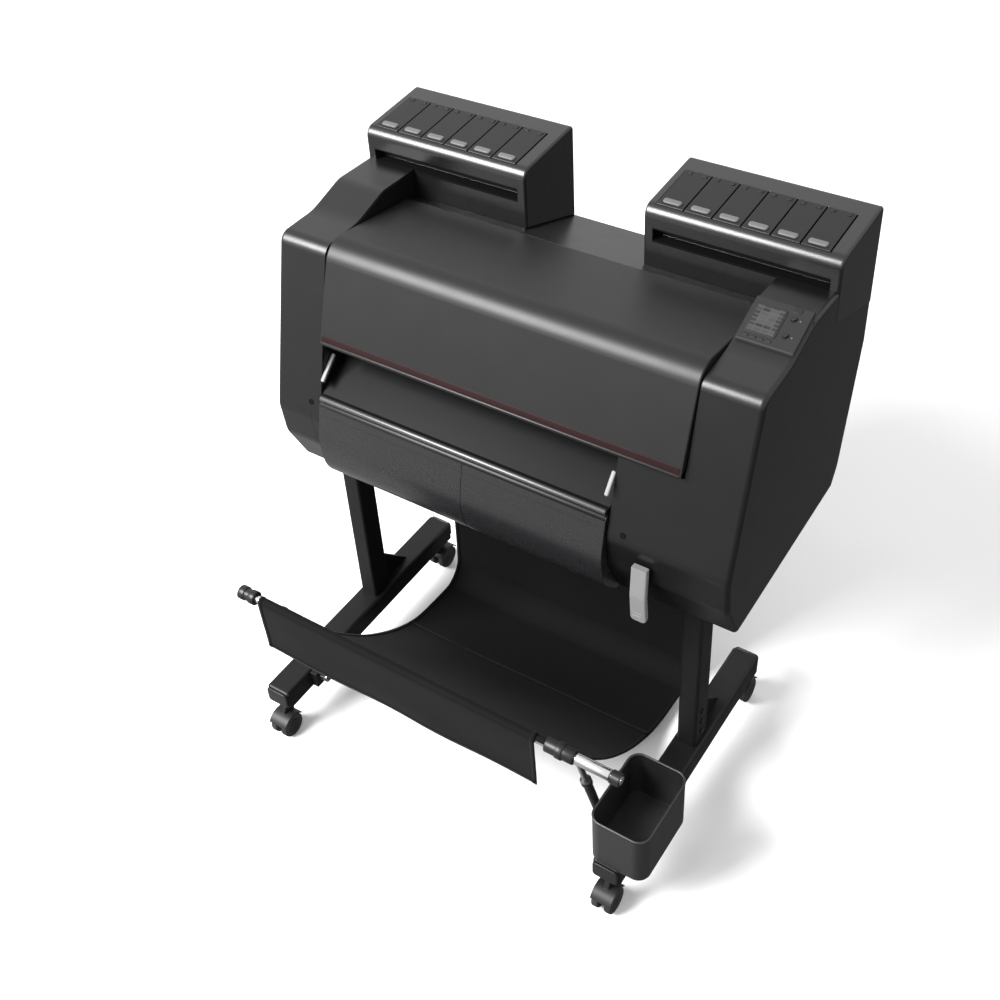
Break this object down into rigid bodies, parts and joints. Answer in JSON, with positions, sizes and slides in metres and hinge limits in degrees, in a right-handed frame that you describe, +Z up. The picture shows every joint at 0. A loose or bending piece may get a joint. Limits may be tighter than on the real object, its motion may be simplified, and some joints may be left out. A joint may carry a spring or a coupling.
{
  "type": "inkjet printer",
  "caption": "Roll-fed large-format inkjet printer: dark casing with lift-up top cover, two rear ink towers with hinged lids, roll hatch, wheeled stand, bin and cloth catch basket.",
  "frame": {"origin": "on the floor under the middle of the outline", "axes": "+X to the operator's right, +Y to the back, +Z up; the operator stands at -Y"},
  "size_m": [1, 0.8279, 1.1672],
  "materials": {
    "casing": "fine moulded texture",
    "cover": "satin",
    "gloss_cover": "smoked gloss",
    "tower": "fine moulded texture",
    "lid": "fine moulded texture",
    "stand_paint": "powder coat",
    "steel": "bright sheet",
    "engine_plastic": "moulded",
    "pale_plastic": "satin",
    "ink": "moulded",
    "board": "laminate",
    "belt": "toothed",
    "panel": "satin",
    "screen": "glossy",
    "key": "satin",
    "inlet": "moulded",
    "bin": "moulded",
    "fork": "moulded",
    "wheel": "smooth tread",
    "chrome_rod": "polished",
    "grip": "moulded",
    "cloth": "woven polyester"
  },
  "bodies": {
    "root": {"accessory_pocket": "bin", "base_pan": "steel", "basket_cloth": "cloth", "basket_cloth_front": "cloth", "basket_rear_rod": "stand_paint", "capping_station": "engine_plastic", "carriage_rail": "steel", "control_board": "board", "control_panel": "panel", "cross_stay": "stand_paint", "drive_belt": "belt", "drive_motors": "steel", "exit_guide": "casing", "feet": "stand_paint", "frame_plates": "steel", "ink_tanks": "ink", "left_ink_tower": "tower", "left_side_housing": "casing", "panel_screen": "screen", "platen": "engine_plastic", "posts": "stand_paint", "power_inlet": "inlet", "power_supply": "steel", "rear_cover": "casing", "right_ink_tower": "tower", "right_side_housing": "casing", "screws": "steel"},
    "top_cover": {"top_cover": "cover"},
    "roll_cover": {"roll_cover": "gloss_cover"},
    "left_tank_lid_1": {"left_tank_lid_1": "lid"},
    "left_tank_lid_2": {"left_tank_lid_2": "lid"},
    "left_tank_lid_3": {"left_tank_lid_3": "lid"},
    "left_tank_lid_4": {"left_tank_lid_4": "lid"},
    "left_tank_lid_5": {"left_tank_lid_5": "lid"},
    "left_tank_lid_6": {"left_tank_lid_6": "lid"},
    "right_tank_lid_1": {"right_tank_lid_1": "lid"},
    "right_tank_lid_2": {"right_tank_lid_2": "lid"},
    "right_tank_lid_3": {"right_tank_lid_3": "lid"},
    "right_tank_lid_4": {"right_tank_lid_4": "lid"},
    "right_tank_lid_5": {"right_tank_lid_5": "lid"},
    "right_tank_lid_6": {"right_tank_lid_6": "lid"},
    "power_button": {"power_button": "key"},
    "stop_button": {"stop_button": "key"},
    "release_lever": {"release_lever": "pale_plastic"},
    "carriage": {"carriage": "engine_plastic"},
    "drive_pulley": {"drive_pulley": "steel"},
    "idler_pulley": {"idler_pulley": "steel"},
    "feed_roller": {"feed_roller": "steel"},
    "roll_spool": {"roll_spool": "engine_plastic"},
    "front_left_caster_fork": {"front_left_caster_fork": "fork"},
    "front_left_caster_wheels": {"front_left_caster_wheels": "wheel"},
    "front_right_caster_fork": {"front_right_caster_fork": "fork"},
    "front_right_caster_wheels": {"front_right_caster_wheels": "wheel"},
    "rear_left_caster_fork": {"rear_left_caster_fork": "fork"},
    "rear_left_caster_wheels": {"rear_left_caster_wheels": "wheel"},
    "rear_right_caster_fork": {"rear_right_caster_fork": "fork"},
    "rear_right_caster_wheels": {"rear_right_caster_wheels": "wheel"},
    "basket": {"basket_frame": "chrome_rod", "basket_clips": "grip", "basket_flap": "cloth"}
  },
  "joints": [
    {"name": "top_cover_hinge", "type": "hinge", "parent": "root", "child": "top_cover", "pos_m": [0, 0.199, 1.044], "axis": [-1, 0, 0], "range_deg": [0, 65]},
    {"name": "roll_cover_hinge", "type": "hinge", "parent": "root", "child": "roll_cover", "pos_m": [0, -0.112, 0.722], "axis": [-1, 0, 0], "range_deg": [0, 60]},
    {"name": "left_tank_lid_1_hinge", "type": "hinge", "parent": "root", "child": "left_tank_lid_1", "pos_m": [-0.4575, 0.366, 1.16525], "axis": [-1, 0, 0], "range_deg": [0, 80]},
    {"name": "left_tank_lid_2_hinge", "type": "hinge", "parent": "root", "child": "left_tank_lid_2", "pos_m": [-0.4025, 0.366, 1.16525], "axis": [-1, 0, 0], "range_deg": [0, 80]},
    {"name": "left_tank_lid_3_hinge", "type": "hinge", "parent": "root", "child": "left_tank_lid_3", "pos_m": [-0.3475, 0.366, 1.16525], "axis": [-1, 0, 0], "range_deg": [0, 80]},
    {"name": "left_tank_lid_4_hinge", "type": "hinge", "parent": "root", "child": "left_tank_lid_4", "pos_m": [-0.2925, 0.366, 1.16525], "axis": [-1, 0, 0], "range_deg": [0, 80]},
    {"name": "left_tank_lid_5_hinge", "type": "hinge", "parent": "root", "child": "left_tank_lid_5", "pos_m": [-0.2375, 0.366, 1.16525], "axis": [-1, 0, 0], "range_deg": [0, 80]},
    {"name": "left_tank_lid_6_hinge", "type": "hinge", "parent": "root", "child": "left_tank_lid_6", "pos_m": [-0.1825, 0.366, 1.16525], "axis": [-1, 0, 0], "range_deg": [0, 80]},
    {"name": "right_tank_lid_1_hinge", "type": "hinge", "parent": "root", "child": "right_tank_lid_1", "pos_m": [0.1685, 0.366, 1.16525], "axis": [-1, 0, 0], "range_deg": [0, 80]},
    {"name": "right_tank_lid_2_hinge", "type": "hinge", "parent": "root", "child": "right_tank_lid_2", "pos_m": [0.2235, 0.366, 1.16525], "axis": [-1, 0, 0], "range_deg": [0, 80]},
    {"name": "right_tank_lid_3_hinge", "type": "hinge", "parent": "root", "child": "right_tank_lid_3", "pos_m": [0.2785, 0.366, 1.16525], "axis": [-1, 0, 0], "range_deg": [0, 80]},
    {"name": "right_tank_lid_4_hinge", "type": "hinge", "parent": "root", "child": "right_tank_lid_4", "pos_m": [0.3335, 0.366, 1.16525], "axis": [-1, 0, 0], "range_deg": [0, 80]},
    {"name": "right_tank_lid_5_hinge", "type": "hinge", "parent": "root", "child": "right_tank_lid_5", "pos_m": [0.3885, 0.366, 1.16525], "axis": [-1, 0, 0], "range_deg": [0, 80]},
    {"name": "right_tank_lid_6_hinge", "type": "hinge", "parent": "root", "child": "right_tank_lid_6", "pos_m": [0.4435, 0.366, 1.16525], "axis": [-1, 0, 0], "range_deg": [0, 80]},
    {"name": "power_button_press", "type": "slide", "parent": "root", "child": "power_button", "axis": [0, 0, -1], "range_m": [0, 0.0015], "stiffness_N_per_m": 300},
    {"name": "stop_button_press", "type": "slide", "parent": "root", "child": "stop_button", "axis": [0, 0, -1], "range_m": [0, 0.0015], "stiffness_N_per_m": 300},
    {"name": "release_lever_swing", "type": "hinge", "parent": "root", "child": "release_lever", "pos_m": [0.336, -0.148, 0.674], "axis": [-1, 0, 0], "range_deg": [0, 40]},
    {"name": "carriage_slide", "type": "slide", "parent": "root", "child": "carriage", "axis": [-1, 0, 0], "range_m": [0, 0.66]},
    {"name": "drive_pulley_spin", "type": "hinge", "parent": "root", "child": "drive_pulley", "pos_m": [0.366, 0.172, 0.962], "axis": [0, 0, 1], "continuous": true},
    {"name": "idler_pulley_spin", "type": "hinge", "parent": "root", "child": "idler_pulley", "pos_m": [-0.366, 0.172, 0.962], "axis": [0, 0, 1], "continuous": true},
    {"name": "feed_roller_spin", "type": "hinge", "parent": "root", "child": "feed_roller", "pos_m": [0, 0.084, 0.847], "axis": [1, 0, 0], "continuous": true},
    {"name": "roll_spool_spin", "type": "hinge", "parent": "root", "child": "roll_spool", "pos_m": [0, 0.044, 0.64], "axis": [1, 0, 0], "continuous": true},
    {"name": "front_left_caster_swivel", "type": "hinge", "parent": "root", "child": "front_left_caster_fork", "pos_m": [-0.404, -0.365, 0.096], "axis": [0, 0, 1], "continuous": true},
    {"name": "front_left_caster_roll", "type": "hinge", "parent": "front_left_caster_fork", "child": "front_left_caster_wheels", "pos_m": [-0.404, -0.385, 0.028], "axis": [1, 0, 0], "continuous": true},
    {"name": "front_right_caster_swivel", "type": "hinge", "parent": "root", "child": "front_right_caster_fork", "pos_m": [0.404, -0.365, 0.096], "axis": [0, 0, 1], "continuous": true},
    {"name": "front_right_caster_roll", "type": "hinge", "parent": "front_right_caster_fork", "child": "front_right_caster_wheels", "pos_m": [0.404, -0.385, 0.028], "axis": [1, 0, 0], "continuous": true},
    {"name": "rear_left_caster_swivel", "type": "hinge", "parent": "root", "child": "rear_left_caster_fork", "pos_m": [-0.404, 0.188, 0.096], "axis": [0, 0, 1], "continuous": true},
    {"name": "rear_left_caster_roll", "type": "hinge", "parent": "rear_left_caster_fork", "child": "rear_left_caster_wheels", "pos_m": [-0.404, 0.208, 0.028], "axis": [1, 0, 0], "continuous": true},
    {"name": "rear_right_caster_swivel", "type": "hinge", "parent": "root", "child": "rear_right_caster_fork", "pos_m": [0.404, 0.188, 0.096], "axis": [0, 0, 1], "continuous": true},
    {"name": "rear_right_caster_roll", "type": "hinge", "parent": "rear_right_caster_fork", "child": "rear_right_caster_wheels", "pos_m": [0.404, 0.208, 0.028], "axis": [1, 0, 0], "continuous": true},
    {"name": "basket_fold", "type": "hinge", "parent": "root", "child": "basket", "pos_m": [0, -0.3, 0.128], "axis": [-1, 0, 0], "range_deg": [0, 42], "deforming": ["basket_cloth_front"]}
  ],
  "couplings": [
    {"joint": "drive_pulley_spin", "follows": "carriage_slide", "rad_per_m": -90.498},
    {"joint": "idler_pulley_spin", "follows": "carriage_slide", "rad_per_m": -90.498}
  ]
}
